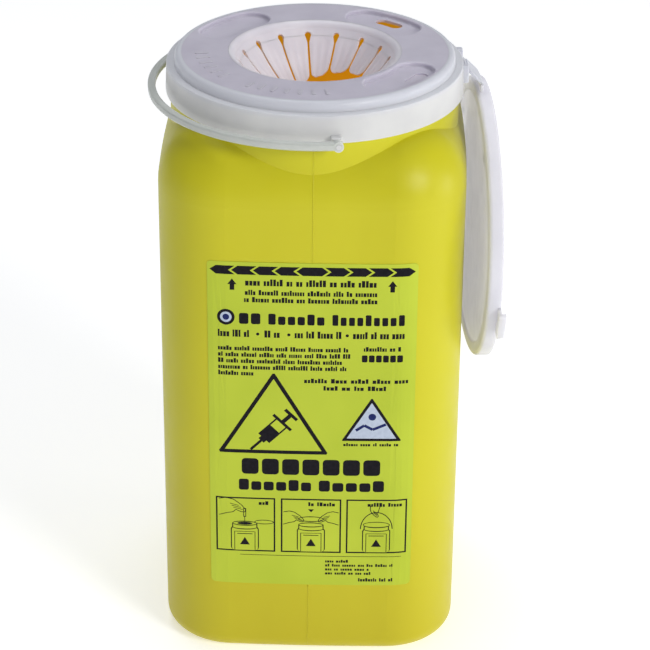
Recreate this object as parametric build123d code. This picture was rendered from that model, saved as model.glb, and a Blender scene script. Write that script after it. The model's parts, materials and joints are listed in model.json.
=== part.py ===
from build123d import *
import math
import os

# A sharps container: a blow-moulded square bottle with a wide round neck, and a
# one-piece snap-on closure that carries a petal funnel, a hinged lid and a handle.
# Frame: origin at the centre of the base, +Z up, -Y towards the labelled front.
# Lengths are millimetres and angles are degrees.

# ---- bottle ---------------------------------------------------------------------
BODY_WIDTH = 102.0            # across the flats, at the middle of a side
SIDE_BOW = 1.6                # how far the sides bulge, corner to middle
CORNER_RADIUS = 24.0          # vertical corners, in plan
SHOULDER_TOP = 191.6          # height at which the shoulders meet the neck
SHOULDER_RADIUS = 22.0
BASE_EDGE_RADIUS = 6.0
WALL = 1.2
BASE_RECESS = 1.5             # push-up inside the standing ring
STANDING_RING = 9.0           # width of the ring that the bottle stands on
NECK_RADIUS = 48.0            # visible neck, below the closure
FINISH_RADIUS = 46.8          # neck inside the closure
NECK_TOP = 200.2
BEAD_RADIUS = 47.9            # snap bead on the neck
BEAD_LOW = 195.0
BEAD_HIGH = 196.8

# ---- label ----------------------------------------------------------------------
LABEL_WIDTH = 68.5
LABEL_LOW = 28.2
LABEL_HIGH = 151.0
LABEL_OFFSET = 0.9            # label centre, to the right of the bottle's centre
LABEL_THICKNESS = 0.15
LABEL_CORNER = 1.5

# ---- closure collar ---------------------------------------------------------------
SKIRT_LOW = 192.0
LEDGE = 201.4                 # shelf that the closed lid lands on
SKIRT_LOW_RADIUS = 49.6
SKIRT_HIGH_RADIUS = 49.2
SKIRT_BORE = 48.3
SNAP_RIB = 0.8                # rib inside the skirt, under the neck bead
LIP_FOOT_RADIUS = 46.6
LIP_TOP_RADIUS = 46.3
LIP_EDGE = 1.6                # round of the collar's top edge
LIP_BORE = 45.0
WEB_UNDERSIDE = 200.4
DECK_TOP = 204.8
DECK_THICKNESS = 1.2
DECK_RADIUS = 44.2            # the deck plate meets the lip here
POCKET_DEPTH = 1.7
POCKET_WALL = 0.9
POCKET_EDGE = 0.7             # soft round of a pocket's rim and floor
POCKET_RADIUS = 36.6          # mean radius of the kidney-shaped pockets
POCKET_WIDTH = 13.0
POCKET_SWEEP = 25.0           # angle between the centres of a pocket's two ends
SLOT_RADIUS = 39.0            # lock slots in the pockets' floors
SLOT_WIDTH = 4.6
SLOT_SWEEP = 8.4
MARK_RADIUS = 37.5            # raised dashes on the deck, in two groups
MARK_LENGTH = 4.6
MARK_WIDTH = 1.3
MARK_HEIGHT = 0.2
MARK_GROUPS = ((187.0, 6, 6.6), (238.0, 7, 6.6))

# ---- petal funnel -----------------------------------------------------------------
PETALS = 16
FUNNEL_TURN = 7.1             # how far the slits are turned from the axes
FUNNEL_MOUTH = 28.6           # where the funnel joins the deck
BROW_MIDDLE = (27.1, 204.2)   # rounded brow: radius, height
BROW_FOOT = (26.1, 202.9)
HINGE_RADIUS = 24.4           # the petals bend on a circle through the keyholes
HINGE_HEIGHT = 200.7
WALL_POINTS = ((20.0, 195.5), (15.0, 190.5), (10.0, 186.4), (6.6, 184.0))
OPENING_RADIUS = 12.4         # round opening that ends the petals
OPENING_CENTRE = (3.9, 2.2)   # it lies off the funnel's centre
RING_THICKNESS = 1.1
PETAL_THICKNESS = 0.9
SLIT = 0.7
KEYHOLE_RADIUS = 1.1
KEYHOLE_RISE = 0.3            # keyhole centre, up the wall from the bending circle
KEYHOLE_TAIL = 2.3            # where the keyhole has narrowed to the slit
PETAL_ROOT_GAP = 0.12
TIP_CORNER = 1.0
TIP_CORNER_SHARE = 0.3        # largest corner round, as a share of the tip's width

# ---- strap hinge ------------------------------------------------------------------
HINGE_AZIMUTH = 6.0           # direction of the lid's hinge from the centre
STRAP_ROOT = (50.8, 198.3)    # collar end of the strap: radius, height
STRAP_LENGTH = 6.4
STRAP_WIDTH = 12.0
STRAP_THICKNESS = 0.9
STRAP_HANG = -45.0            # slope of the strap while the lid hangs open
STRAP_END_GAP = 0.25
EAR_WIDTH = 2.5
EAR_FACE = 50.4               # outer face of the ears, from the centre
EAR_ROUND = 0.6
EAR_LOW = 195.4
EAR_HIGH = 201.3
LID_SWEEP_RADIUS = 49.3       # kept clear for the lid's skirt above the ledge

# ---- lid, described closed --------------------------------------------------------
LID_RADIUS = 48.0
LID_BORE = 46.9
LID_TOP = 206.4
LID_LOW = 201.6
LID_PLATE = 1.2
PANEL_RADIUS = 43.0           # recessed middle of the plate
PANEL_DROP = 0.5
PANEL_STEP = 0.6
PRONG_WIDTH = 6.5
PRONG_THICKNESS = 1.2
PRONG_LOW = 199.9             # lower end of the prong that enters the open slot
STUD_LOW = 203.2              # lower end of the stud over the blind slot
STUD_RADIUS = 1.6
PRONG_BARB = 0.5
BARB_RISE = 1.1               # sloping nose of the barb
BARB_FLAT = 0.4
TAB_AZIMUTH = 248.0           # thumb tab, from the hinge
TAB_WIDTH = 11.5
TAB_REACH = 51.6
TAB_HIGH = 202.7
TAB_HOOK_LOW = 200.2
TAB_HOOK_RADIUS = 50.2

# ---- handle -----------------------------------------------------------------------
PIVOT_TURN = 9.24             # how far the handle's pivots are turned from the Y axis
HANDLE_RADIUS = 54.2          # centre line
HANDLE_SECTION = 2.6
HANDLE_ROUND = 0.7
HANDLE_HEIGHT = 193.2
HANDLE_EYE = 1.7
PIN_RADIUS = 0.80
PIN_CLEARANCE = 0.05
PIN_END = 55.6
LUG_FACE = 52.6
LUG_WIDTH = 3.2
LUG_LOW = 191.8
LUG_HIGH = 194.9
LUG_ROUND = 0.9

POCKETS = (45.0, 135.0, -45.0)        # azimuths from the hinge
# Slots: azimuth from the hinge, and where the cut ends above the pocket's underside.
SLOTS = ((45.0, -1.0), (-37.0, 0.5))
PIVOT_AZIMUTHS = {"front": PIVOT_TURN - 90.0, "rear": PIVOT_TURN + 90.0}
PITCH = 360.0 / PETALS

os.makedirs("parts", exist_ok=True)


# ---- helpers ----------------------------------------------------------------------
def write(name, shape):
    """Write one node's solids to its STEP file."""
    export_step(shape, f"parts/{name}.step")


def turned(points, rounds=()):
    """Solid of revolution from (radius, height) points; rounds gives (corner, radius)."""
    section = make_face(Polyline(*points, close=True))
    for corner, radius in rounds:
        vertex = section.vertices().sort_by_distance(Vector(*points[corner]))[0]
        section = fillet(vertex, radius)
    return revolve(Plane.XZ * section, Axis.Z)


def about_axis(shape, azimuth):
    """Turn a shape drawn on the +X side round to its azimuth."""
    return Rot(0, 0, azimuth) * shape


def radial_rod(radius, start, end, height):
    """Round rod along +X between two distances from the axis."""
    return Pos((start + end) / 2, 0, height) * Rot(0, 90, 0) * Cylinder(radius, end - start)


def block(x_low, x_high, width, z_low, z_high):
    """Block on the +X side, centred on the XZ plane."""
    size = (x_high - x_low, width, z_high - z_low)
    return Pos((x_low + x_high) / 2, 0, (z_low + z_high) / 2) * Box(*size)


def skirt_radius(height):
    """Outer radius of the tapered skirt at a height."""
    share = (height - SKIRT_LOW) / (LEDGE - SKIRT_LOW)
    return SKIRT_LOW_RADIUS + share * (SKIRT_HIGH_RADIUS - SKIRT_LOW_RADIUS)


def offset_wall(points, depth):
    """Wall points moved square to the wall, to the side away from the axis."""
    moved = []
    for i, (radius, height) in enumerate(points):
        before = points[max(i - 1, 0)]
        after = points[min(i + 1, len(points) - 1)]
        run = after[0] - before[0]
        drop = after[1] - before[1]
        length = math.hypot(run, drop)
        moved.append((radius - drop / length * depth, height + run / length * depth))
    return moved


def collar_keep_out():
    """Space inside the collar's outer surface, for trimming what stands on it."""
    low = SKIRT_LOW - 4.0
    return turned([
        (0, low), (skirt_radius(low), low), (SKIRT_HIGH_RADIUS, LEDGE),
        (LID_SWEEP_RADIUS, LEDGE), (LID_SWEEP_RADIUS, LID_TOP), (0, LID_TOP),
    ])


# ---- bottle -----------------------------------------------------------------------
def body_outline(inset):
    """Rounded square with slightly bowed sides, set in from the outer skin."""
    half = BODY_WIDTH / 2 - inset
    corner = half - SIDE_BOW
    side = ThreePointArc((-corner, -corner), (0, -half), (corner, -corner))
    sides = [Rot(0, 0, turn) * side for turn in (0, 90, 180, 270)]
    outline = make_face(Wire(Curve() + sides))
    return fillet(outline.vertices(), CORNER_RADIUS - inset)


def body_block(inset, floor):
    """Body with rounded shoulders and base edge, without its neck."""
    solid = Pos(0, 0, floor) * extrude(body_outline(inset), SHOULDER_TOP - inset - floor)
    solid = fillet(solid.faces().sort_by(Axis.Z)[-1].edges(), SHOULDER_RADIUS - inset)
    return fillet(solid.faces().sort_by(Axis.Z)[0].edges(), BASE_EDGE_RADIUS - inset)


def bottle():
    """Hollow bottle with a standing ring and a snap bead on its neck."""
    root = SHOULDER_TOP - SHOULDER_RADIUS
    neck = turned([
        (0, root), (NECK_RADIUS, root), (NECK_RADIUS, SKIRT_LOW - 0.2),
        (FINISH_RADIUS, SKIRT_LOW), (FINISH_RADIUS, BEAD_LOW), (BEAD_RADIUS, BEAD_LOW + 0.3),
        (FINISH_RADIUS, BEAD_HIGH), (FINISH_RADIUS, NECK_TOP), (0, NECK_TOP),
    ])
    outer = body_block(0, 0) + neck
    inner = body_block(WALL, BASE_RECESS + WALL)
    bore = Pos(0, 0, (root + NECK_TOP + 1) / 2) * Cylinder(FINISH_RADIUS - WALL, NECK_TOP + 1 - root)
    recess = extrude(body_outline(STANDING_RING), BASE_RECESS, taper=30)
    return outer - inner - bore - recess


def front_label():
    """Thin label that follows the front side's curve."""
    skin = extrude(body_outline(-LABEL_THICKNESS), LABEL_HIGH) - extrude(body_outline(0), LABEL_HIGH)
    shape = RectangleRounded(LABEL_WIDTH, LABEL_HIGH - LABEL_LOW, LABEL_CORNER)
    plane = Plane.XZ.offset(BODY_WIDTH / 2 - STANDING_RING)
    place = Pos(LABEL_OFFSET, (LABEL_LOW + LABEL_HIGH) / 2)
    return skin & extrude(plane * place * shape, STANDING_RING + 1)


# ---- closure collar ---------------------------------------------------------------
def collar_skirt():
    """Outer ring of the collar: skirt, ledge, plug wall, rounded top edge and inner snap rib."""
    rib = SKIRT_LOW + 1.2
    underside = DECK_TOP - DECK_THICKNESS
    points = [
        (SKIRT_BORE, SKIRT_LOW), (SKIRT_LOW_RADIUS, SKIRT_LOW), (SKIRT_HIGH_RADIUS, LEDGE),
        (LIP_FOOT_RADIUS, LEDGE), (LIP_TOP_RADIUS, DECK_TOP), (DECK_RADIUS, DECK_TOP),
        (DECK_RADIUS, underside), (LIP_BORE, underside), (LIP_BORE, WEB_UNDERSIDE),
        (SKIRT_BORE, WEB_UNDERSIDE), (SKIRT_BORE, rib + 1.4), (SKIRT_BORE - SNAP_RIB, rib + 1.0),
        (SKIRT_BORE - SNAP_RIB, rib + 0.4), (SKIRT_BORE, rib),
    ]
    return turned(points, [(1, 0.3), (2, 0.35), (4, LIP_EDGE)])


def pocket_shape(width, sweep, radius, azimuth):
    """Kidney-shaped outline round the axis."""
    arc = CenterArc((0, 0), radius, azimuth - sweep / 2, sweep)
    return SlotArc(arc, width)


def collar_deck():
    """Top plate of the collar, with three soft-edged pockets, a lock slot and a blind slot."""
    underside = DECK_TOP - DECK_THICKNESS
    ring = Circle(DECK_RADIUS) - Circle(FUNNEL_MOUTH)
    deck = Pos(0, 0, underside) * extrude(ring, DECK_THICKNESS)
    depth = POCKET_DEPTH + POCKET_WALL
    for turn in POCKETS:
        azimuth = HINGE_AZIMUTH + turn
        cup = pocket_shape(POCKET_WIDTH + 2 * POCKET_WALL, POCKET_SWEEP, POCKET_RADIUS, azimuth)
        hollow = extrude(pocket_shape(POCKET_WIDTH, POCKET_SWEEP, POCKET_RADIUS, azimuth), depth)
        hollow = fillet(hollow.faces().sort_by(Axis.Z)[0].edges(), POCKET_EDGE)
        deck += Pos(0, 0, DECK_TOP - depth) * extrude(cup, depth)
        deck -= Pos(0, 0, DECK_TOP - POCKET_DEPTH) * hollow
    rims = [
        edge for edge in deck.faces().sort_by(Axis.Z)[-1].edges()
        if FUNNEL_MOUTH + 1 < math.hypot(edge.center().X, edge.center().Y) < DECK_RADIUS - 0.5
    ]
    deck = fillet(rims, POCKET_EDGE)
    for turn, rise in SLOTS:
        slot = pocket_shape(SLOT_WIDTH, SLOT_SWEEP, SLOT_RADIUS, HINGE_AZIMUTH + turn)
        deck -= Pos(0, 0, DECK_TOP - depth + rise) * extrude(slot, depth - rise)
    return deck


def deck_marks():
    """Two rows of plain raised dashes on the deck."""
    dash = RectangleRounded(MARK_LENGTH, MARK_WIDTH, MARK_WIDTH / 2.2)
    dash = Pos(MARK_RADIUS, 0, DECK_TOP) * extrude(dash, MARK_HEIGHT)
    marks = []
    for start, count, step in MARK_GROUPS:
        marks += [about_axis(dash, start + i * step) for i in range(count)]
    return Compound(children=marks)


# ---- petal funnel -----------------------------------------------------------------
def funnel_slope():
    """Slope of the funnel wall at the bending circle, as a unit vector down the wall."""
    run = WALL_POINTS[0][0] - HINGE_RADIUS
    drop = WALL_POINTS[0][1] - HINGE_HEIGHT
    length = math.hypot(run, drop)
    return run / length, drop / length


def keyhole_and_slit():
    """Cutter for one slit and the teardrop hole at its upper end."""
    run, drop = funnel_slope()
    plane = Plane(origin=(HINGE_RADIUS, 0, HINGE_HEIGHT), x_dir=(0, 1, 0), z_dir=(drop, 0, -run))
    shoulder = 0.9 * KEYHOLE_RADIUS
    sides = Polyline(
        (-shoulder, 0), (shoulder, 0), (SLIT / 2, KEYHOLE_TAIL), (-SLIT / 2, KEYHOLE_TAIL), close=True
    )
    teardrop = Pos(0, -KEYHOLE_RISE) * Circle(KEYHOLE_RADIUS) + make_face(sides)
    keyhole = extrude(plane * teardrop, 3, both=True)
    slit = block(2.0, HINGE_RADIUS, SLIT, WALL_POINTS[-1][1] - 3, HINGE_HEIGHT + 3)
    return keyhole + slit


def funnel_ring():
    """Rim of the funnel, from the deck down to the bending circle."""
    foot = (HINGE_RADIUS, HINGE_HEIGHT)
    under_foot = offset_wall([foot, WALL_POINTS[0]], RING_THICKNESS)[0]
    line = Line(foot, BROW_FOOT)
    brow = ThreePointArc(BROW_FOOT, BROW_MIDDLE, (FUNNEL_MOUTH, DECK_TOP))
    rest = Polyline(brow @ 1, (FUNNEL_MOUTH, DECK_TOP - DECK_THICKNESS), under_foot, foot)
    ring = revolve(Plane.XZ * make_face(line + brow + rest), Axis.Z)
    cutter = keyhole_and_slit()
    for i in range(PETALS):
        ring -= about_axis(cutter, FUNNEL_TURN + i * PITCH)
    return ring


def petal_wedge():
    """Petal on the +X side, running past the opening, between two slits."""
    run, drop = funnel_slope()
    root = (HINGE_RADIUS + run * PETAL_ROOT_GAP, HINGE_HEIGHT + drop * PETAL_ROOT_GAP)
    over = [root, *WALL_POINTS]
    under = offset_wall(over, PETAL_THICKNESS)
    upper = Spline(*over)
    lower = Spline(*under)
    section = make_face(upper + Line(over[-1], under[-1]) + lower + Line(under[0], over[0]))
    wedge = revolve(Plane.XZ * section, Axis.Z, revolution_arc=PITCH)
    cutter = keyhole_and_slit()
    return about_axis(wedge - cutter - about_axis(cutter, PITCH), -PITCH / 2)


def petal(wedge, azimuth):
    """One flexible petal, cut off by the opening and rounded at its tip."""
    opening = Pos(*OPENING_CENTRE, HINGE_HEIGHT - 10) * Cylinder(OPENING_RADIUS, 40)
    leaf = about_axis(wedge, azimuth) - opening
    corners = leaf.edges().filter_by(Axis.Z)
    width = (corners[0].center() - corners[1].center()).length
    return fillet(corners, min(TIP_CORNER, TIP_CORNER_SHARE * width))


# ---- lid hinge --------------------------------------------------------------------
def hinge_mount():
    """Root bar of the strap and the two ears beside it, standing on the skirt."""
    bar_face = STRAP_ROOT[0] - 0.4
    mount = block(46.0, bar_face, STRAP_WIDTH + 2, EAR_LOW - 0.8, STRAP_ROOT[1] - 0.2)
    ear = block(44.0, EAR_FACE, EAR_WIDTH, EAR_LOW, EAR_HIGH)
    ear = fillet(ear.faces().sort_by(Axis.X)[-1].edges(), EAR_ROUND)
    side = STRAP_WIDTH / 2 + 0.5 + EAR_WIDTH / 2
    for shift in (-side, side):
        mount += Pos(0, shift, 0) * ear
    return about_axis(mount - collar_keep_out(), HINGE_AZIMUTH)


def hinge_strap():
    """Short strap between the collar and the lid, hanging at its resting slope."""
    length = STRAP_LENGTH - 2 * STRAP_END_GAP
    strap = Box(length, STRAP_WIDTH, STRAP_THICKNESS)
    strap = fillet(strap.edges().filter_by(Axis.Z), 0.4)
    strap = Pos(STRAP_LENGTH / 2, 0, 0) * strap
    strap = Pos(STRAP_ROOT[0], 0, STRAP_ROOT[1]) * Rot(0, -STRAP_HANG, 0) * strap
    return about_axis(strap, HINGE_AZIMUTH)


# ---- lid --------------------------------------------------------------------------
def hang(shape):
    """Move a lid piece from its closed place to the open lid hanging on its strap."""
    closed = Vector(STRAP_ROOT[0], 0, STRAP_ROOT[1] + STRAP_LENGTH)
    slope = math.radians(STRAP_HANG)
    reach = STRAP_LENGTH * math.cos(slope)
    fall = STRAP_LENGTH * math.sin(slope)
    opened = Vector(STRAP_ROOT[0] + reach, 0, STRAP_ROOT[1] + fall)
    placed = Pos(opened) * Rot(0, -90, 0) * Pos(-closed) * shape
    return about_axis(placed, HINGE_AZIMUTH)


def lid_cover():
    """Shallow cap with a recessed panel and the tab that joins the strap."""
    under = LID_TOP - LID_PLATE
    points = [
        (0, under), (LID_BORE, under), (LID_BORE, LID_LOW), (LID_RADIUS, LID_LOW), (LID_RADIUS, LID_TOP),
        (PANEL_RADIUS + PANEL_STEP, LID_TOP), (PANEL_RADIUS, LID_TOP - PANEL_DROP),
        (0, LID_TOP - PANEL_DROP),
    ]
    cap = turned(points, [(3, 0.4), (4, 1.1), (5, 0.4), (6, 0.4)])
    height = STRAP_ROOT[1] + STRAP_LENGTH
    half = STRAP_THICKNESS / 2
    tab = block(44.0, STRAP_ROOT[0] - 0.6, STRAP_WIDTH, height - half, height + half)
    tab -= Pos(0, 0, height) * Cylinder(LID_RADIUS - 0.6, 4)
    return cap + tab


def lid_prong():
    """Barbed lock prong under the lid, in line with the open slot."""
    top = LID_TOP - LID_PLATE
    inner = SLOT_RADIUS - PRONG_THICKNESS / 2
    outer = SLOT_RADIUS + PRONG_THICKNESS / 2
    barb = PRONG_LOW + BARB_RISE
    side = make_face(Polyline(
        (inner, top), (inner, PRONG_LOW), (outer - 0.3, PRONG_LOW), (outer + PRONG_BARB, barb),
        (outer + PRONG_BARB, barb + BARB_FLAT), (outer, barb + 2 * BARB_FLAT), (outer, top), close=True
    ))
    prong = extrude(Plane.XZ * side, PRONG_WIDTH / 2, both=True)
    return about_axis(prong, SLOTS[0][0])


def lid_stud():
    """Short locating stud under the lid, over the blind slot."""
    height = LID_TOP - LID_PLATE - STUD_LOW
    stud = Pos(SLOT_RADIUS, 0, STUD_LOW + height / 2) * Cylinder(STUD_RADIUS, height)
    return about_axis(stud, SLOTS[1][0])


def lid_thumb_tab():
    """Lift tab on the lid's open edge, with a hooked lip."""
    shelf = block(44.0, TAB_REACH, TAB_WIDTH, LID_LOW, TAB_HIGH)
    hook = block(TAB_HOOK_RADIUS, TAB_REACH, TAB_WIDTH, TAB_HOOK_LOW, LID_LOW + 0.1)
    tab = shelf + hook
    tab = fillet(tab.edges().filter_by(Axis.Z).sort_by(Axis.X)[-2:], 1.0)
    tab -= Pos(0, 0, LID_LOW) * Cylinder(LID_RADIUS, 4 * (TAB_HIGH - TAB_HOOK_LOW))
    return about_axis(tab, TAB_AZIMUTH)


# ---- handle -----------------------------------------------------------------------
def carry_handle():
    """Half-ring handle with an eye at each end, lying level."""
    section = RectangleRounded(HANDLE_SECTION, HANDLE_SECTION, HANDLE_ROUND)
    section = Plane.XZ * Pos(HANDLE_RADIUS, HANDLE_HEIGHT) * section
    handle = about_axis(revolve(section, Axis.Z, revolution_arc=180), PIVOT_AZIMUTHS["rear"])
    inner = HANDLE_RADIUS - HANDLE_SECTION / 2
    outer = HANDLE_RADIUS + HANDLE_SECTION / 2
    eye = radial_rod(HANDLE_EYE, inner, outer, HANDLE_HEIGHT)
    hole = radial_rod(PIN_RADIUS + PIN_CLEARANCE, inner - 1, outer + 1, HANDLE_HEIGHT)
    for azimuth in PIVOT_AZIMUTHS.values():
        handle += about_axis(eye, azimuth)
    for azimuth in PIVOT_AZIMUTHS.values():
        handle -= about_axis(hole, azimuth)
    return handle


def handle_pivot(azimuth):
    """Lug that hangs from the skirt, and the pin that carries one end of the handle."""
    lug = block(46.0, LUG_FACE, LUG_WIDTH, LUG_LOW, LUG_HIGH)
    lug = fillet(lug.faces().sort_by(Axis.X)[-1].edges(), LUG_ROUND)
    pin = radial_rod(PIN_RADIUS, LUG_FACE - 1, PIN_END, HANDLE_HEIGHT)
    return about_axis(lug + pin - collar_keep_out(), azimuth)


# ---- write every node -------------------------------------------------------------
write("bottle", bottle())
write("front_label", front_label())
write("collar_skirt", collar_skirt())
write("collar_deck", collar_deck())
write("deck_marks", deck_marks())
write("funnel_ring", funnel_ring())
write("hinge_mount", hinge_mount())
write("hinge_strap", hinge_strap())
write("lid_cover", hang(lid_cover()))
write("lid_lock_prong", hang(lid_prong()))
write("lid_stud", hang(lid_stud()))
write("lid_thumb_tab", hang(lid_thumb_tab()))
write("carry_handle", carry_handle())
for side, azimuth in PIVOT_AZIMUTHS.items():
    write(f"handle_pivot_{side}", handle_pivot(azimuth))
wedge = petal_wedge()
for i in range(PETALS):
    write(f"petal_{i + 1:02d}", petal(wedge, FUNNEL_TURN + (i + 0.5) * PITCH))
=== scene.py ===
"""Looks of the sharps container: materials, printed label, funnel leaves, film hinges, light and camera.

Lengths are metres in the CAD frame; mm() turns millimetres into metres.
"""

import json
import math
import random

import bpy
import numpy as np
from mathutils import Matrix, Vector
from mathutils.geometry import delaunay_2d_cdt

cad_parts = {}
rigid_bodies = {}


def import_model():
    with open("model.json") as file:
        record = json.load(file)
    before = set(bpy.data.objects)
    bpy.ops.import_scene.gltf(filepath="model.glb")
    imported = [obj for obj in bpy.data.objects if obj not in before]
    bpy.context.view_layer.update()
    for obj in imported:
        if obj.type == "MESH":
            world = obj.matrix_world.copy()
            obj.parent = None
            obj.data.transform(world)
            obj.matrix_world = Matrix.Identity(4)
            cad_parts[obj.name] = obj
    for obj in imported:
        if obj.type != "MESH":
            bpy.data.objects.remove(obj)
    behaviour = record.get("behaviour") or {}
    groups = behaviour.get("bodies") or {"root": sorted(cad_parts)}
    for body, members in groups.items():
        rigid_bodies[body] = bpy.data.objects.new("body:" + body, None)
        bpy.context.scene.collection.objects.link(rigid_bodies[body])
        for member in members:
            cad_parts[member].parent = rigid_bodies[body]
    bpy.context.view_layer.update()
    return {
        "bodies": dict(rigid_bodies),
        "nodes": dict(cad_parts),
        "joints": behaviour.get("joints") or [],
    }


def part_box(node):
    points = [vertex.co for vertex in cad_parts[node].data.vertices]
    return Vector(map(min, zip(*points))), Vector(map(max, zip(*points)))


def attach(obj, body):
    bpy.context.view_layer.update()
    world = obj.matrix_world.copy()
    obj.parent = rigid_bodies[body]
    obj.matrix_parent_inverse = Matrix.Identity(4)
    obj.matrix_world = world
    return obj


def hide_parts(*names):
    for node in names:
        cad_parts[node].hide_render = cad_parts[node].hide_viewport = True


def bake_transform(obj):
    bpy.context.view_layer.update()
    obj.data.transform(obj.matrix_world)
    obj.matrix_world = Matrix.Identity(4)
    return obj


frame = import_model()
nodes = frame["nodes"]
joints = {joint["name"]: joint for joint in frame["joints"]}
petal_bodies = sorted(name for name in frame["bodies"] if name.startswith("petal_"))


def mm(value):
    """Millimetres to metres."""
    return value / 1000.0


def in_mm(value):
    """Metres to millimetres."""
    return value * 1000.0


# ---- materials ----------------------------------------------------------------------
class Shader:
    """Small helper that builds one Principled material node by node."""

    def __init__(self, name):
        self.material = bpy.data.materials.new(name)
        self.material.use_nodes = True
        self.tree = self.material.node_tree
        self.surface = self.tree.nodes["Principled BSDF"]
        self.place = self.add("ShaderNodeTexCoord").outputs["Object"]

    def add(self, kind, **settings):
        node = self.tree.nodes.new(kind)
        for key, value in settings.items():
            setattr(node, key, value)
        return node

    def link(self, source, target):
        self.tree.links.new(source, target)

    def put(self, **values):
        """Set Principled sockets by name, with _ for a space."""
        for key, value in values.items():
            self.surface.inputs[key.replace("_", " ")].default_value = value

    def noise(self, scale, detail=2.0, stretch=(1, 1, 1)):
        """Noise between 0 and 1 over the object, stretched along the axes."""
        mapping = self.add("ShaderNodeMapping")
        mapping.inputs["Scale"].default_value = stretch
        self.link(self.place, mapping.inputs["Vector"])
        noise = self.add("ShaderNodeTexNoise")
        noise.inputs["Scale"].default_value = scale
        noise.inputs["Detail"].default_value = detail
        self.link(mapping.outputs["Vector"], noise.inputs["Vector"])
        return noise.outputs["Fac"]

    def height(self):
        """Height over the floor."""
        split = self.add("ShaderNodeSeparateXYZ")
        self.link(self.place, split.inputs["Vector"])
        return split.outputs["Z"]

    def ramp(self, source, low, high, span=(0.0, 1.0)):
        """Colour ramp from low to high over a span of the source."""
        ramp = self.add("ShaderNodeValToRGB")
        ramp.color_ramp.elements[0].position = span[0]
        ramp.color_ramp.elements[1].position = span[1]
        ramp.color_ramp.elements[0].color = (*low, 1)
        ramp.color_ramp.elements[1].color = (*high, 1)
        self.link(source, ramp.inputs["Fac"])
        return ramp.outputs["Color"]

    def spread(self, source, low, high, span=(0.3, 0.7)):
        """Map a source's span on to low..high."""
        spread = self.add("ShaderNodeMapRange")
        spread.inputs["From Min"].default_value = span[0]
        spread.inputs["From Max"].default_value = span[1]
        spread.inputs["To Min"].default_value = low
        spread.inputs["To Max"].default_value = high
        self.link(source, spread.inputs["Value"])
        return spread.outputs["Result"]

    def mix(self, share, first, second):
        """Mix two colours by a share."""
        mix = self.add("ShaderNodeMix", data_type="RGBA")
        self.link(share, mix.inputs["Factor"])
        self.link(first, mix.inputs["A"])
        self.link(second, mix.inputs["B"])
        return mix.outputs["Result"]

    def math(self, operation, first, second):
        """Arithmetic on two sockets or numbers."""
        node = self.add("ShaderNodeMath", operation=operation)
        for value, socket in ((first, node.inputs[0]), (second, node.inputs[1])):
            if isinstance(value, (int, float)):
                socket.default_value = value
            else:
                self.link(value, socket)
        return node.outputs["Value"]

    def bump(self, height, distance, strength=1.0, under=None):
        """Bump of a height field, over another bump if one is given."""
        bump = self.add("ShaderNodeBump")
        bump.inputs["Strength"].default_value = strength
        bump.inputs["Distance"].default_value = distance
        self.link(height, bump.inputs["Height"])
        if under is not None:
            self.link(under, bump.inputs["Normal"])
        return bump.outputs["Normal"]

    def finish(self, colour=None, roughness=None, normal=None):
        for source, socket in ((colour, "Base Color"), (roughness, "Roughness"), (normal, "Normal")):
            if source is not None:
                self.link(source, self.surface.inputs[socket])
        return self.material


def yellow_polyethylene():
    """Blow-moulded HDPE, satin and faintly pebbled; its inside faces get a warmer tint and a painted glow for
    light through the wall.

    The outside turns warmer towards the foot. A face counts as inside where its normal points to the axis.
    """
    shader = Shader("yellow_polyethylene")
    cloud = shader.noise(28.0, 3.0, (1, 1, 0.35))
    outside = shader.ramp(cloud, (0.535, 0.50, 0.010), (0.595, 0.56, 0.015), (0.25, 0.75))
    foot = (mm(0), mm(80))
    warm = shader.spread(shader.height(), 0.6, 0.0, foot)
    amber = shader.ramp(cloud, (0.495, 0.40, 0.012), (0.555, 0.465, 0.016))
    outside = shader.mix(warm, outside, amber)

    geometry = shader.add("ShaderNodeNewGeometry")
    radial = shader.add("ShaderNodeVectorMath", operation="MULTIPLY")
    radial.inputs[1].default_value = (1, 1, 0)
    shader.link(shader.place, radial.inputs[0])
    facing = shader.add("ShaderNodeVectorMath", operation="DOT_PRODUCT")
    shader.link(radial.outputs["Vector"], facing.inputs[0])
    shader.link(geometry.outputs["Normal"], facing.inputs[1])
    inward = shader.math("LESS_THAN", facing.outputs["Value"], -0.0005)
    # inside faces: a warmer, brighter tint, painted light that comes through the wall
    inside = shader.ramp(cloud, (0.70, 0.44, 0.02), (0.78, 0.50, 0.03))
    colour = shader.mix(inward, outside, inside)
    # painted glow: the inside faces give off orange light, standing in for light through the wall
    shader.link(shader.math("MULTIPLY", inward, 0.30), shader.surface.inputs["Emission Strength"])
    shader.surface.inputs["Emission Color"].default_value = (0.62, 0.36, 0.012, 1)

    normal = shader.bump(shader.noise(900.0, 2.0), mm(0.012), 0.5)
    normal = shader.bump(shader.noise(60.0, 2.0), mm(0.12), 0.6, normal)
    roughness = shader.spread(shader.noise(140.0, 3.0), 0.36, 0.46)
    shader.put(Subsurface_Weight=0.15, Subsurface_Scale=mm(3), IOR=1.38, Specular_IOR_Level=0.45)
    shader.surface.inputs["Subsurface Radius"].default_value = (1.0, 0.8, 0.15)
    return shader.finish(colour, roughness, normal)


TONE_BLEND = 1.5              # millimetres, half the height over which one tone turns into another


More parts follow.
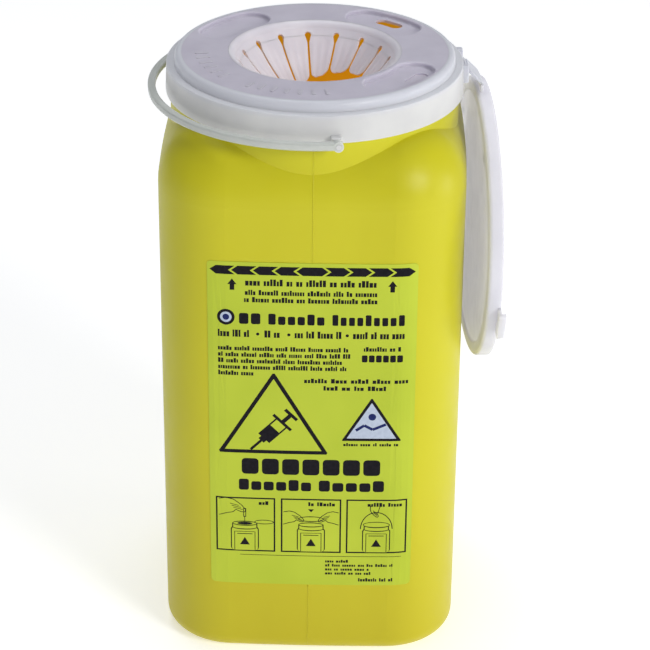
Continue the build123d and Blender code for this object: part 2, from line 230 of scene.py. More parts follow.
def natural_polypropylene(name, low, high, depth=0.8, top=None, glow=0.0):
    """Unpigmented polypropylene: milky and satin.

    depth is how far light spreads in it, in millimetres. top is (height in millimetres, tone above it).
    glow stands for the light that soaks through from behind.
    """
    shader = Shader(name)
    cloud = shader.noise(90.0, 4.0)
    colour = shader.ramp(cloud, low, high, (0.3, 0.7))
    if top is not None:
        level, tone = top
        share = shader.spread(shader.height(), 0.0, 1.0, (mm(level - TONE_BLEND), mm(level + TONE_BLEND)))
        colour = shader.mix(share, colour, shader.ramp(cloud, tone, tone))
    normal = shader.bump(shader.noise(160.0, 2.0), mm(0.05), 0.5)
    roughness = shader.spread(shader.noise(220.0, 3.0), 0.28, 0.40)
    shader.put(Subsurface_Weight=0.9, Subsurface_Scale=mm(depth), IOR=1.49, Specular_IOR_Level=0.35)
    shader.put(Emission_Strength=glow)
    shader.surface.inputs["Emission Color"].default_value = (0.77, 0.77, 0.84, 1)
    shader.surface.inputs["Subsurface Radius"].default_value = (1.0, 0.97, 0.97)
    return shader.finish(colour, roughness, normal)


def label_stock():
    """Yellow-green printed film with a soft gloss and slight waves."""
    shader = Shader("label_stock")
    cloud = shader.noise(35.0, 2.0)
    colour = shader.ramp(cloud, (0.445, 0.535, 0.026), (0.505, 0.59, 0.034), (0.3, 0.7))
    normal = shader.bump(shader.noise(60.0, 1.0, (1, 1, 1.6)), mm(0.22), 0.6)
    roughness = shader.spread(shader.noise(300.0, 2.0), 0.34, 0.42)
    shader.put(Specular_IOR_Level=0.3)
    return shader.finish(colour, roughness, normal)


def printing_ink(name, low, high):
    """Ink on the label, a little uneven and semi-matt."""
    shader = Shader(name)
    colour = shader.ramp(shader.noise(900.0, 3.0), low, high, (0.35, 0.65))
    roughness = shader.spread(shader.noise(500.0, 2.0), 0.45, 0.55)
    shader.put(Specular_IOR_Level=0.1)
    return shader.finish(colour, roughness)


def floor_paper():
    """Pale seamless paper, lit evenly from below."""
    shader = Shader("floor_paper")
    colour = shader.ramp(shader.noise(12.0, 2.0), (0.88, 0.88, 0.885), (0.90, 0.90, 0.905))
    shader.put(Roughness=0.9, Specular_IOR_Level=0.1, Emission_Strength=0.45)
    return shader.finish(colour)


YELLOW = yellow_polyethylene()
RIM = (201.0, (0.56, 0.57, 0.62))
# Deck: the milky plastic's colour, made cooler and a little darker as painted shade for the dark inside that
# shows through it
DECK = natural_polypropylene("deck_polypropylene", (0.55, 0.52, 0.61), (0.61, 0.58, 0.67))
SKIRT = natural_polypropylene(
    "skirt_polypropylene", (0.56, 0.56, 0.56), (0.62, 0.62, 0.61), top=RIM, glow=0.09
)
PETAL = natural_polypropylene("petal_polypropylene", (0.70, 0.67, 0.73), (0.78, 0.75, 0.80))
LID = natural_polypropylene(
    "lid_polypropylene", (0.50, 0.495, 0.545), (0.56, 0.555, 0.605), depth=6.0, glow=0.12
)
HINGE = natural_polypropylene("hinge_polypropylene", (0.56, 0.57, 0.63), (0.62, 0.63, 0.69))
BAIL = natural_polypropylene("handle_polypropylene", (0.54, 0.56, 0.53), (0.60, 0.62, 0.59))
STOCK = label_stock()
BLACK = printing_ink("black_ink", (0.006, 0.005, 0.008), (0.011, 0.009, 0.014))
PALE = printing_ink("pale_blue_ink", (0.44, 0.50, 0.62), (0.50, 0.56, 0.68))
NAVY = printing_ink("navy_ink", (0.012, 0.018, 0.10), (0.018, 0.026, 0.13))

NODE_MATERIALS = {
    "bottle": YELLOW,
    "collar_skirt": SKIRT,
    "collar_deck": DECK,
    "deck_marks": DECK,
    "funnel_ring": PETAL,
    "hinge_mount": HINGE,
    "handle_pivot_front": SKIRT,
    "handle_pivot_rear": SKIRT,
    "hinge_strap": HINGE,
    "lid_cover": LID,
    "lid_lock_prong": LID,
    "lid_stud": LID,
    "lid_thumb_tab": LID,
    "carry_handle": BAIL,
    "front_label": STOCK,
    **{name: PETAL for name in petal_bodies},
}


def paint(obj, material):
    """Give every face of a piece one material."""
    obj.data.materials.clear()
    obj.data.materials.append(material)


for node, material in NODE_MATERIALS.items():
    paint(nodes[node], material)


# ---- mesh helpers -------------------------------------------------------------------
def new_piece(name, vertices, faces, material, smooth=True):
    """Mesh object from points and faces."""
    mesh = bpy.data.meshes.new(name)
    mesh.from_pydata([tuple(v) for v in vertices], [], faces)
    mesh.validate()
    obj = bpy.data.objects.new(name, mesh)
    bpy.context.scene.collection.objects.link(obj)
    obj.data.materials.append(material)
    if smooth:
        mesh.polygons.foreach_set("use_smooth", [True] * len(mesh.polygons))
    return obj


def tube_faces(rings, corners=4):
    """Faces of a closed bar whose rings of corners follow each other."""
    faces = []
    for i in range(rings - 1):
        for k in range(corners):
            a, b = i * corners + k, i * corners + (k + 1) % corners
            faces.append((a, b, b + corners, a + corners))
    last = (rings - 1) * corners
    faces += [tuple(reversed(range(corners))), tuple(range(last, last + corners))]
    return faces


# ---- mould parting line -------------------------------------------------------------
RIDGE_WIDTH = mm(0.55)
RIDGE_HEIGHT = mm(0.10)
RIDGE_SINK = mm(0.05)         # how deep the ridge's foot lies in the wall
RIDGE_STEP = mm(1.5)
CREST_SHARE = 0.25            # width of the crest, as a share of the ridge's width
LINE_X = mm(0.9)              # the mould parts a little right of the middle
LOWER_LINE_X = mm(0.0)
FOOT = mm(3.0)                # the line starts above the base's rounding
LABEL_GAP = mm(0.3)
SKIRT_GAP = mm(0.4)
OUTSIDE = mm(200)             # well outside the bottle
LABEL_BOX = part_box("front_label")
SKIRT_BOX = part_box("collar_skirt")


def outer_skin(x, z, side):
    """Point and normal of the bottle's outer surface at x and z, on the front (-1) or back (1)."""
    start = Vector((x, side * OUTSIDE, z))
    _, point, normal, _ = nodes["bottle"].ray_cast(start, Vector((0, -side, 0)))
    return point, normal


def parting_line(name, side, low, high, x):
    """Low ridge that follows the bottle's middle between two heights."""
    count = max(2, int((high - low) / RIDGE_STEP))
    across = Vector((RIDGE_WIDTH / 2, 0, 0))
    vertices = []
    for i in range(count + 1):
        point, normal = outer_skin(x, low + (high - low) * i / count, side)
        foot = point - normal * RIDGE_SINK
        crest = point + normal * RIDGE_HEIGHT
        vertices += [foot - across, crest - across * CREST_SHARE, crest + across * CREST_SHARE, foot + across]
    ridge = new_piece(name, vertices, tube_faces(count + 1), YELLOW)
    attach(ridge, "root")


neck_end = SKIRT_BOX[0].z - SKIRT_GAP
parting_line("parting_line_upper", -1, LABEL_BOX[1].z + LABEL_GAP, neck_end, LINE_X)
parting_line("parting_line_lower", -1, FOOT, LABEL_BOX[0].z - LABEL_GAP, LOWER_LINE_X)
parting_line("parting_line_back", 1, FOOT, neck_end, LINE_X)


# ---- printed label ------------------------------------------------------------------
# Label shapes are drawn flat, in millimetres from the label's centre, X right and Y up.
# Each shape is (outline, ink); a later shape covers an earlier one.
FILM = 0
INKS = [STOCK, BLACK, PALE, NAVY]
INK, LIGHT, BLUE = 1, 2, 3
label_low, label_high = LABEL_BOX
LABEL_CENTRE = (in_mm(label_low.x + label_high.x) / 2, in_mm(label_low.z + label_high.z) / 2)
LABEL_SIZE = (in_mm(label_high.x - label_low.x), in_mm(label_high.z - label_low.z))
LABEL_CORNER = 1.5
FINE, LINE, BOLD = 0.22, 0.28, 0.36    # line widths of the small drawings
rng = random.Random(7)
shapes = []


def draw(outline, ink=INK):
    """Add one filled shape."""
    shapes.append((outline, ink))


def rectangle(x0, y0, x1, y1, ink=INK):
    draw([(x0, y0), (x1, y0), (x1, y1), (x0, y1)], ink)


def rounded(x0, y0, x1, y1, radius, ink=INK, steps=5):
    """Rectangle with round corners."""
    outline = []
    corners = ((x1, y0, -90), (x1, y1, 0), (x0, y1, 90), (x0, y0, 180))
    for x, y, start in corners:
        cx = x - radius if x == x1 else x + radius
        cy = y - radius if y == y1 else y + radius
        for i in range(steps + 1):
            turn = math.radians(start + 90 * i / steps)
            outline.append((cx + radius * math.cos(turn), cy + radius * math.sin(turn)))
    draw(outline, ink)


def ellipse(x, y, rx, ry, ink=INK, steps=28):
    """Filled ellipse about a centre."""
    turns = [2 * math.pi * i / steps for i in range(steps)]
    draw([(x + rx * math.cos(t), y + ry * math.sin(t)) for t in turns], ink)


def ellipse_line(x, y, rx, ry, width):
    """Outline of an ellipse, with what is within it painted plain."""
    ellipse(x, y, rx, ry)
    ellipse(x, y, rx - width, ry - width, FILM)


def stroke(points, width, ink=INK):
    """Line through points, as one quad for each run."""
    for (x0, y0), (x1, y1) in zip(points, points[1:]):
        length = math.hypot(x1 - x0, y1 - y0)
        nx, ny = -(y1 - y0) / length * width / 2, (x1 - x0) / length * width / 2
        draw([(x0 + nx, y0 + ny), (x0 - nx, y0 - ny), (x1 - nx, y1 - ny), (x1 + nx, y1 + ny)], ink)


def words(x0, x1, y, height, letter=0.8, longest=9):
    """A line of unreadable text: blocks of letter width, in words, from x0 to x1."""
    narrow, low = 0.55, 0.72
    letter_gap, word_gap = 0.22, 0.9
    x = x0
    while x < x1 - letter:
        for _ in range(rng.randint(2, longest)):
            width = letter * rng.uniform(narrow, 1.0)
            if x + width > x1:
                break
            tall = height * rng.choice((low, low, 1.0))
            rectangle(x, y, x + width, y + tall)
            x += width + letter * letter_gap
        x += letter * word_gap


def blocks(x0, x1, y, height, count, gap, short=1.0):
    """A heading as a row of plain rounded blocks; short is the height of three in every four."""
    width = (x1 - x0 - gap * (count - 1)) / count
    corner = min(width, height) * 0.22
    for i in range(count):
        left = x0 + i * (width + gap)
        tall = height if i % 4 == 0 else height * short
        rounded(left, y, left + width, y + tall, corner, steps=3)


def triangle(apex, left, right, width, fill=FILM):
    """Outlined triangle with a level base and slightly cut corners."""
    corner_cut = 0.02
    centre_x = (apex[0] + left[0] + right[0]) / 3
    centre_y = (apex[1] + left[1] + right[1]) / 3
    height = apex[1] - left[1]
    base = right[0] - left[0]
    inradius = height * base / (base + 2 * math.hypot(height, apex[0] - left[0]))
    keep = 1 - width / inradius
    corners = [apex, left, right]
    outer = []
    for i, (x, y) in enumerate(corners):
        for other in (corners[i - 1], corners[(i + 1) % 3]):
            outer.append((x + (other[0] - x) * corner_cut, y + (other[1] - y) * corner_cut))
    draw(outer)
    draw([(centre_x + (x - centre_x) * keep, centre_y + (y - centre_y) * keep) for x, y in corners], fill)


def level_band():
    """Row of pointed flags that marks the fill level, pointing away from the middle."""
    low, high, point = 56.9, 60.0, 2.1
    middle = (low + high) / 2
    middle_tip, outer_tip, pitch, gap = 5.2, 33.4, 7.05, 0.95
    draw([(-middle_tip, middle), (point - middle_tip, low), (middle_tip - point, low),
          (middle_tip, middle), (middle_tip - point, high), (point - middle_tip, high)])
    for side in (-1, 1):
        for i in range(4):
            tip = outer_tip - i * pitch
            notch = tip - pitch + gap
            outline = [(tip, middle), (tip - point, low), (notch - point, low), (notch, middle),
                       (notch - point, high), (tip - point, high)]
            draw([(side * x, y) for x, y in outline])


def up_arrow(x, low, high):
    """Block arrow, with its head on the upper half."""
    middle = (low + high) / 2
    shaft, head = 0.75, 1.5
    draw([(x - shaft, low), (x + shaft, low), (x + shaft, middle), (x + head, middle),
          (x, high), (x - head, middle), (x - shaft, middle)])


def syringe(x, y, size, width):
    """Plain syringe glyph that slants up to the right; parts are shares of its half length."""
    diagonal = size * 0.7071
    barrel = 0.25
    barrel_end, fill_end = 0.45, 0.10

    def along(s, t):
        return (x + (s - t) * diagonal, y + (s + t) * diagonal)

    def bar(s0, s1, t, ink=INK):
        draw([along(s0, -t), along(s1, -t), along(s1, t), along(s0, t)], ink)

    bar(-1.0, -0.45, 0.045)                                       # needle
    bar(-0.52, -0.38, 0.12)                                       # hub
    bar(-0.40, barrel_end, barrel)
    bar(-0.40 + width, barrel_end - width, barrel - width, FILM)
    bar(-0.40 + width, fill_end, barrel - width)                  # what is drawn up
    bar(0.39, 0.49, 0.40)                                         # finger flange
    bar(0.45, 0.85, 0.07)                                         # plunger rod
    bar(0.79, 0.90, 0.27)                                         # thumb rest


def hand(x, y, back, size, flip=1):
    """Plain outline of a hand; back points from the fingertips to the wrist."""
    def place(s, t):
        across = t * flip
        return (x + size * (back[0] * s - back[1] * across), y + size * (back[1] * s + back[0] * across))

    outline = [(9.2, 4.4), (6.6, 5.0), (4.2, 4.4), (1.6, 2.4), (0.1, 0.5), (0.3, -0.5), (1.5, -0.5),
               (3.4, 0.4), (4.4, -0.6), (6.4, -1.0), (9.2, -2.0)]
    stroke([place(s, t) for s, t in outline], LINE)
    for i in range(3):
        finger = [place(1.0 + 0.7 * i, 0.4 + 0.8 * i), place(4.2 + 0.6 * i, 1.2 + 0.8 * i)]
        stroke(finger, FINE)


def small_container(x, y):
    """Line drawing of the container's upper part, standing on the box's lower line."""
    half, neck, top = 4.8, 4.32, y + 11.0
    shoulder, collar, rim = top - 1.6, top - 1.9, top - 0.4
    rounded(x - half, y, x + half, shoulder, 1.2)
    rounded(x - half + BOLD, y - 0.1, x + half - BOLD, shoulder - BOLD, 1.0, FILM)
    ellipse_line(x, collar, neck, 1.0, BOLD)
    rectangle(x - neck, collar, x + neck, rim)
    rectangle(x - neck + BOLD, collar - 0.1, x + neck - BOLD, rim + 0.1, FILM)
    ellipse_line(x, rim, neck, 1.0, BOLD)
    label, label_top, thin = half - 1.2, top - 3.8, BOLD * 0.7
    rectangle(x - label, y, x - label + thin, label_top)
    rectangle(x + label - thin, y, x + label, label_top)
    rectangle(x - label, label_top, x + label, label_top + 0.2)
    rectangle(x - 2.6, top - 4.7, x + 2.6, top - 4.4)
    draw([(x, top - 5.9), (x - 1.7, top - 8.9), (x + 1.7, top - 8.9)])


def picture_box(x0, x1, low, high):
    """Frame of one small drawing."""
    line = 0.55
    rectangle(x0, low, x1, high)
    rectangle(x0 + line, low + line, x1 - line, high - line, FILM)


def pictures():
    """Three boxed line drawings: drop in, close the lid, carry by the handle."""
    low, high = -48.4, -27.0
    base = low + 0.5
    boxes = ((-32.3, -12.1), (-10.2, 10.3), (12.0, 32.6))
    captions = (4.2, 9.8, 12.0)
    for x0, x1 in boxes:
        picture_box(x0, x1, low, high)
    for (_, x1), width in zip(boxes, captions):
        words(x1 - 1.4 - width, x1 - 1.2, low + 18.6, 1.5, 1.05, 12)
    drop_x, close_x, carry_x = [(x0 + x1) / 2 for x0, x1 in boxes]
    drop_x -= 0.3

    small_container(drop_x, base)
    ellipse(drop_x, base + 10.6, 2.6, 0.55)
    ellipse_line(drop_x + 6.6, base + 11.3, 3.3, 0.9, LINE)
    rectangle(drop_x - 0.5, base + 13.2, drop_x + 0.5, base + 16.6)
    rectangle(drop_x - 0.25, base + 13.5, drop_x + 0.25, base + 16.3, FILM)
    rectangle(drop_x - 0.12, base + 11.0, drop_x + 0.12, base + 13.2)
    hand(drop_x + 0.4, base + 15.6, (-1, 0), 1.0, -1)

    small_container(close_x, base)
    ellipse_line(close_x, base + 12.9, 4.4, 1.1, 0.32)
    draw([(close_x, base + 15.6), (close_x - 1.0, base + 16.8), (close_x + 1.0, base + 16.8)])
    hand(close_x - 2.4, base + 12.2, (-1, 0), 0.76, -1)
    hand(close_x + 2.4, base + 12.2, (1, 0), 0.76)

    small_container(carry_x, base)
    ellipse_line(carry_x, base + 10.9, 4.6, 1.2, LINE)
    arch = [math.pi * i / 16 for i in range(17)]
    stroke([(carry_x + 5.4 * math.cos(t), base + 9.2 + 6.6 * math.sin(t)) for t in arch], 0.34)
    hand(carry_x + 0.3, base + 13.9, (0, 1), 0.5)


def label_artwork():
    """Everything printed on the label. All text is plain blocks."""
    half_w, half_h = LABEL_SIZE[0] / 2, LABEL_SIZE[1] / 2
    rounded(-half_w, -half_h, half_w, half_h, LABEL_CORNER, FILM)
    level_band()
    for x in (-26.1, 26.0):
        up_arrow(x, 51.3, 55.4)
    words(-21.8, 21.8, 53.0, 2.4, 1.15, 6)
    words(-21.9, 21.6, 49.6, 1.9, 0.95)
    words(-22.2, 22.0, 47.0, 1.9, 0.95)
    ellipse(-28.2, 41.4, 2.9, 2.9)
    ellipse(-28.2, 41.4, 1.9, 1.9, LIGHT)
    ellipse(-28.2, 41.4, 1.1, 1.1, BLUE)
    blocks(-23.9, -16.9, 39.0, 4.0, 2, 0.8)
    blocks(-14.3, 4.0, 39.0, 4.0, 6, 0.8, 0.76)
    blocks(6.6, 30.2, 39.0, 4.0, 9, 0.8, 0.76)
    for x0, x1 in ((-30.9, -19.9), (-15.6, -10.2), (-5.7, 9.6), (13.4, 30.3)):
        words(x0, x1, 34.2, 2.6, 1.0, 5)
    for x in (-17.8, -7.6, 11.5):
        ellipse(x, 35.4, 0.55, 0.55, steps=12)
    for i, end in enumerate((12.2, 13.0, 9.9, 12.9, -18.3)):
        words(-30.9, end, 29.2 - 2.32 * i, 1.7, 0.85)
    words(17.0, 29.6, 29.6, 1.7, 0.9)
    blocks(16.4, 29.9, 25.6, 2.6, 6, 0.45)
    words(-2.5, 32.3, 17.6, 1.7, 1.25, 8)
    words(3.9, 25.5, 14.9, 1.7, 1.25, 7)
    triangle((-12.6, 21.5), (-31.4, -9.6), (5.8, -9.6), 1.35)
    syringe(-13.0, -0.8, 10.4, 0.055)
    triangle((20.0, 12.3), (10.0, -4.2), (30.1, -4.2), 1.0, LIGHT)
    stroke([(14.8, -0.2), (17.6, 1.8), (20.4, 0.2), (24.8, 2.2)], 1.0, BLUE)
    ellipse(20.2, 5.0, 1.3, 1.3, BLUE, 18)
    words(10.7, 29.6, -6.2, 1.2, 0.85, 8)
    blocks(-23.4, 23.2, -17.7, 6.1, 7, 1.1)
    blocks(-24.4, 0.0, -24.0, 4.3, 6, 0.8, 0.8)
    blocks(2.6, 24.6, -24.0, 4.3, 5, 0.8, 0.8)
    pictures()
    rectangle(-24.2, -49.9, 31.0, -49.7)
    for i, end in enumerate((13.4, 28.4, 20.2, 21.4)):
        words(5.0, end, -52.3 - 1.62 * i, 1.15, 0.8, 7)
    words(16.4, 28.8, -59.9, 1.4, 0.85, 9)


STRIP = 2.03                  # the film bends along upright strips of this width
STRIPS_EACH_SIDE = 16
FILM_DEPTH = mm(0.13)
NO_VERTEX = 1.0               # further back than any vertex of the label
WELD = 1e-5                   # points this close become one


def front_curve():
    """Front of the label as a function of X, read from the CAD label's outer face."""
    points = {}
    for vertex in nodes["front_label"].data.vertices:
        key = round(vertex.co.x, 5)
        points[key] = min(points.get(key, NO_VERTEX), vertex.co.y)
    xs = sorted(points)
    return xs, [points[x] for x in xs]


def flat_artwork():
    """The drawn shapes as flat points and triangles, with the ink of each triangle."""
    vertices, outlines = [], []
    for outline, _ in shapes:
        area = sum(a[0] * b[1] - b[0] * a[1] for a, b in zip(outline, outline[1:] + outline[:1]))
        ordered = outline if area > 0 else outline[::-1]
        outlines.append(list(range(len(vertices), len(vertices) + len(ordered))))
        vertices += [Vector(point) for point in ordered]
    bends = []
    beyond = LABEL_SIZE[1] / 2 + 1
    for i in range(-STRIPS_EACH_SIDE, STRIPS_EACH_SIDE + 1):
        bends.append((len(vertices), len(vertices) + 1))
        vertices += [Vector((i * STRIP, -beyond)), Vector((i * STRIP, beyond))]
    inside_only = 1
    flat, _, triangles, _, _, sources = delaunay_2d_cdt(vertices, bends, outlines, inside_only, WELD)
    return flat, [tuple(t) for t in triangles], [shapes[max(source)][1] for source in sources]


def printed_label():
    """One closed film whose front is cut into inked and plain areas."""
    label_artwork()
    flat, triangles, inks = flat_artwork()
    xs, ys = front_curve()
    front, back = [], []
    for point in flat:
        x = mm(LABEL_CENTRE[0] + point.x)
        z = mm(LABEL_CENTRE[1] + point.y)
        y = float(np.interp(x, xs, ys))
        front.append((x, y, z))
        back.append((x, y + FILM_DEPTH, z))
    count = len(flat)
    used = {}
    for a, b, c in triangles:
        for edge in ((a, b), (b, c), (c, a)):
            used[edge] = True
    rim = [(a, b) for a, b in used if (b, a) not in used]
    faces = triangles + [tuple(i + count for i in reversed(t)) for t in triangles]
    faces += [(b, a, a + count, b + count) for a, b in rim]
    film = new_piece("printed_label", front + back, faces, STOCK, smooth=False)
    for material in INKS[1:]:
        film.data.materials.append(material)
    film.data.polygons.foreach_set("material_index", inks + [FILM] * (len(faces) - len(inks)))
    return film


label = printed_label()
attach(label, "root")
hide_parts("front_label")


# ---- funnel petals ------------------------------------------------------------------
# Millimetres. Each CAD petal is drawn again as a thin fluted leaf that grows out of the rim.
PITCH = 360.0 / len(petal_bodies)
FUNNEL_TURN = 7.1
HINGE_RADIUS = 24.4
HINGE_SLOPE = 0.646           # radius lost per millimetre down the wall, at the rim
SLIT_HALF = 0.35
KEYHOLE = 1.1
KEYHOLE_RISE = 0.3            # keyhole's centre, up the wall from the bending circle
KEYHOLE_TAIL = 2.3            # down the wall, to where the keyhole has narrowed to the slit
KEYHOLE_SIDE = 0.9            # half gap above the keyhole, as a share of its radius
OPENING = (3.9, 2.2, 12.5)    # centre and radius of the opening between the tips
TIP_ROUND = 1.9
TIP_ROUND_SHARE = 0.8         # largest corner round, as a share of the tip's half width
LEAF_ROOT = 24.55             # starts inside the rim
LEAF_THICKNESS = (0.86, 0.62)
FLUTE = 0.11                  # depth of the flutes
FLUTES = 3                    # across one leaf
FLUTE_RISE = 3                # they reach full depth after 1 / FLUTE_RISE of its length
LEAF_SINK = 0.01              # the leaf lies this much below the CAD petal's face
SLOPE_PROBE = 0.4             # the wall's slope is measured over this radius
ROW_CROWDING = 1.25           # the rows lie closer together near the bend
LEAF_ROWS, LEAF_COLUMNS = 34, 20
PROFILE_PETAL = 8             # the longest petal, counted from 0
PROFILE_STEPS = 140
PROFILE_STEP = 0.125
PROFILE_START = 0.15          # inward from the bending circle
ROOT_STEPS = 8                # steps that give the wall's slope at the root
ABOVE = mm(220)               # over the whole container
SHARP_ANGLE = math.radians(50)


def wall_profile():
    """Height of the funnel wall's upper face by radius, read from the longest CAD petal."""
    turn = math.radians(FUNNEL_TURN + (PROFILE_PETAL + 0.5) * PITCH)
    source = nodes[petal_bodies[PROFILE_PETAL]]
    radii, heights = [], []
    for i in range(PROFILE_STEPS):
        radius = HINGE_RADIUS - PROFILE_START - PROFILE_STEP * i
        above = Vector((mm(radius) * math.cos(turn), mm(radius) * math.sin(turn), ABOVE))
        hit, point, _, _ = source.ray_cast(above, Vector((0, 0, -1)))
        if hit:
            radii.append(radius)
            heights.append(in_mm(point.z))
    rise = (heights[0] - heights[ROOT_STEPS]) / (radii[0] - radii[ROOT_STEPS])
    radii.insert(0, LEAF_ROOT + 1)
    heights.insert(0, heights[0] + rise * (radii[0] - radii[1]))
    return np.array(radii[::-1]), np.array(heights[::-1])


WALL_RADII, WALL_HEIGHTS = wall_profile()


def slit_half_width(radius):
    """Half the gap beside a leaf: the slit, widening into the keyhole."""
    down = (HINGE_RADIUS - radius) / HINGE_SLOPE
    share = min(max(down / KEYHOLE_TAIL, 0.0), 1.0)
    start = KEYHOLE_SIDE * KEYHOLE
    half = start + share * (SLIT_HALF - start)
    reach = KEYHOLE ** 2 - (down + KEYHOLE_RISE) ** 2
    return max(half, math.sqrt(reach)) if reach > 0 else half


def opening_radius(turn):
    """Distance from the axis to the opening's edge in one direction."""
    x, y, radius = OPENING
    along = x * math.cos(turn) + y * math.sin(turn)
    return along + math.sqrt(radius ** 2 - x ** 2 - y ** 2 + along ** 2)


def leaf_turn(middle, across, radius):
    """Angle of a leaf's point, from its place across the leaf and its radius."""
    return middle + across * (math.radians(PITCH / 2) - math.asin(slit_half_width(radius) / radius))


def leaf_end(middle, across):
    """Radius at which one column of a leaf ends, with the tip's corners rounded."""
    end = opening_radius(middle)
    for _ in range(4):
        end = opening_radius(leaf_turn(middle, across, end))
    half = end * abs(leaf_turn(middle, 1.0, end) - middle)
    corner = min(TIP_ROUND, TIP_ROUND_SHARE * half)
    inset = (1 - abs(across)) * half
    if inset < corner:
        end += corner - math.sqrt(corner ** 2 - (corner - inset) ** 2)
    return end


def leaf_points(middle):
    """Upper and lower points of a leaf, row by row from the root to the tip."""
    over, under = [], []
    for j in range(LEAF_ROWS + 1):
        run = (j / LEAF_ROWS) ** ROW_CROWDING
        thickness = LEAF_THICKNESS[0] + run * (LEAF_THICKNESS[1] - LEAF_THICKNESS[0])
        for k in range(LEAF_COLUMNS + 1):
            across = math.sin(math.pi / 2 * (2 * k / LEAF_COLUMNS - 1))
            radius = LEAF_ROOT + run * (leaf_end(middle, across) - LEAF_ROOT)
            turn = leaf_turn(middle, across, radius)
            height = float(np.interp(radius, WALL_RADII, WALL_HEIGHTS))
            ahead = float(np.interp(radius - SLOPE_PROBE, WALL_RADII, WALL_HEIGHTS))
            slope = math.atan2(height - ahead, SLOPE_PROBE)
            flute = FLUTE * (math.cos(FLUTES * math.pi * across) - 1) * min(1.0, FLUTE_RISE * run) - LEAF_SINK
            for points, depth in ((over, flute), (under, -thickness)):
                out = radius - depth * math.sin(slope)
                points.append((mm(out * math.cos(turn)), mm(out * math.sin(turn)),
                               mm(height + depth * math.cos(slope))))
    return over, under


def leaf_faces(count):
    """Faces of a closed leaf with count points on each side."""
    wide = LEAF_COLUMNS + 1
    faces = []
    for j in range(LEAF_ROWS):
        for k in range(LEAF_COLUMNS):
            a = j * wide + k
            faces.append((a, a + wide, a + wide + 1, a + 1))
            faces.append((a + 1 + count, a + wide + 1 + count, a + wide + count, a + count))
    border = list(range(wide))
    border += [j * wide + LEAF_COLUMNS for j in range(1, LEAF_ROWS + 1)]
    border += [LEAF_ROWS * wide + k for k in range(LEAF_COLUMNS - 1, -1, -1)]
    border += [j * wide for j in range(LEAF_ROWS - 1, 0, -1)]
    for a, b in zip(border, border[1:] + border[:1]):
        faces.append((a, b, b + count, a + count))
    return faces


def petal_leaf(name, order):
    """Fluted leaf that bends smoothly where the CAD petal hinges."""
    middle = math.radians(FUNNEL_TURN + (order + 0.5) * PITCH)
    over, under = leaf_points(middle)
    leaf = new_piece(name.replace("petal", "petal_leaf"), over + under, leaf_faces(len(over)), PETAL)
    leaf.data.set_sharp_from_angle(angle=SHARP_ANGLE)
    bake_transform(leaf)
    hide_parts(name)


for order, name in enumerate(petal_bodies):
    petal_leaf(name, order)


# ---- film hinges of the strap -------------------------------------------------------
FILM_HALF_WIDTH = mm(5.8)
FILM_THICKNESS = mm(0.34)
FILM_REACH = mm(0.75)         # to each side of the fold
FILM_STEPS = 10


def film_hinge(name, joint_name, along):
    """Thin web across one of the strap's two folds; along is its run from the first body."""
    joint = joints[joint_name]
    pivot, axis = Vector(joint["pos_m"]), Vector(joint["axis"]).normalized()
    square = along.cross(axis).normalized() * FILM_THICKNESS / 2
    side = axis * FILM_HALF_WIDTH
    vertices = []
    for i in range(FILM_STEPS + 1):
        spot = pivot + along * FILM_REACH * (2 * i / FILM_STEPS - 1)
        vertices += [spot - side + square, spot - side - square, spot + side - square, spot + side + square]
    film = new_piece(name, vertices, tube_faces(FILM_STEPS + 1), HINGE, smooth=False)
    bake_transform(film)


fold_run = Vector(joints["lid_fold"]["pos_m"]) - Vector(joints["strap_fold"]["pos_m"])
fold_run.normalize()
film_hinge("film_hinge_collar", "strap_fold", fold_run)
film_hinge("film_hinge_lid", "lid_fold", fold_run)


# ---- stage, light and camera --------------------------------------------------------
def stage_floor():
    """Large pale floor under the container."""
    size = 4.0
    corners = [(-size, -size, 0), (size, -size, 0), (size, size, 0), (-size, size, 0)]
    floor = new_piece("floor", corners, [(0, 1, 2, 3)], floor_paper(), smooth=False)


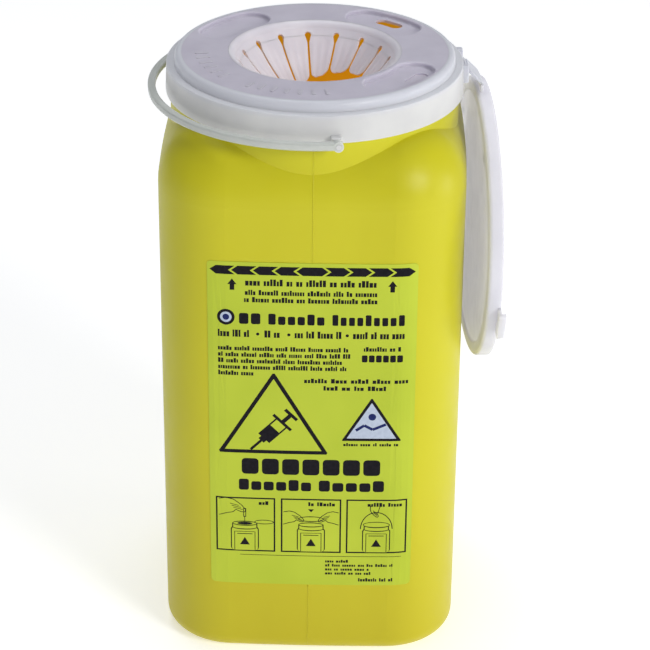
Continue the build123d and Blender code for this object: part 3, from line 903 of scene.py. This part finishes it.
def area_light(name, position, target, size, power, colour=(1, 1, 1)):
    """Round soft light at a position, aimed at a target."""
    light = bpy.data.lights.new(name, "AREA")
    light.shape = "DISK"
    light.size = size
    light.energy = power
    light.color = colour
    obj = bpy.data.objects.new(name, light)
    bpy.context.scene.collection.objects.link(obj)
    obj.location = position
    aim = Vector(target) - Vector(position)
    obj.rotation_mode = "QUATERNION"
    obj.rotation_quaternion = aim.to_track_quat("-Z", "Y")


def studio_light():
    """Soft key light from the front right, weaker light from the side and the top, and a pale surround."""
    world = bpy.data.worlds.new("studio")
    bpy.context.scene.world = world
    world.use_nodes = True
    background = world.node_tree.nodes["Background"]
    background.inputs["Color"].default_value = (0.95, 0.97, 1.0, 1)
    background.inputs["Strength"].default_value = 0.33
    middle = (0, 0, 0.11)
    area_light("key", (0.95, -1.0, 0.75), middle, 0.5, 10.8, (1.0, 0.99, 0.97))
    area_light("side", (1.3, -0.05, 0.20), middle, 0.3, 2.4)
    area_light("top", (-0.1, 0.3, 1.3), middle, 0.7, 4.5, (0.95, 0.97, 1.0))


def place_camera():
    """Camera above the front, looking down, with a long lens."""
    azimuth, pitch, roll = math.radians(1.07), math.radians(27.19), math.radians(0.54)
    distance, target = 0.8642, Vector((0.00414, 0, 0.1026))
    level = math.cos(pitch)
    back = Vector((math.sin(azimuth) * level, -math.cos(azimuth) * level, math.sin(pitch)))
    right = Vector((0, 0, 1)).cross(back).normalized()
    up = back.cross(right)
    side = right * math.cos(roll) + up * math.sin(roll)
    rise = up * math.cos(roll) - right * math.sin(roll)
    data = bpy.data.cameras.new("camera")
    data.sensor_width = 36.0
    data.lens = 137.0
    data.clip_start = 0.05
    data.clip_end = 20.0
    camera = bpy.data.objects.new("camera", data)
    bpy.context.scene.collection.objects.link(camera)
    rotation = Matrix((side, rise, back)).transposed()
    camera.matrix_world = Matrix.Translation(target + back * distance) @ rotation.to_4x4()
    bpy.context.scene.camera = camera


stage_floor()
studio_light()
place_camera()
bpy.context.scene.view_settings.view_transform = "Standard"
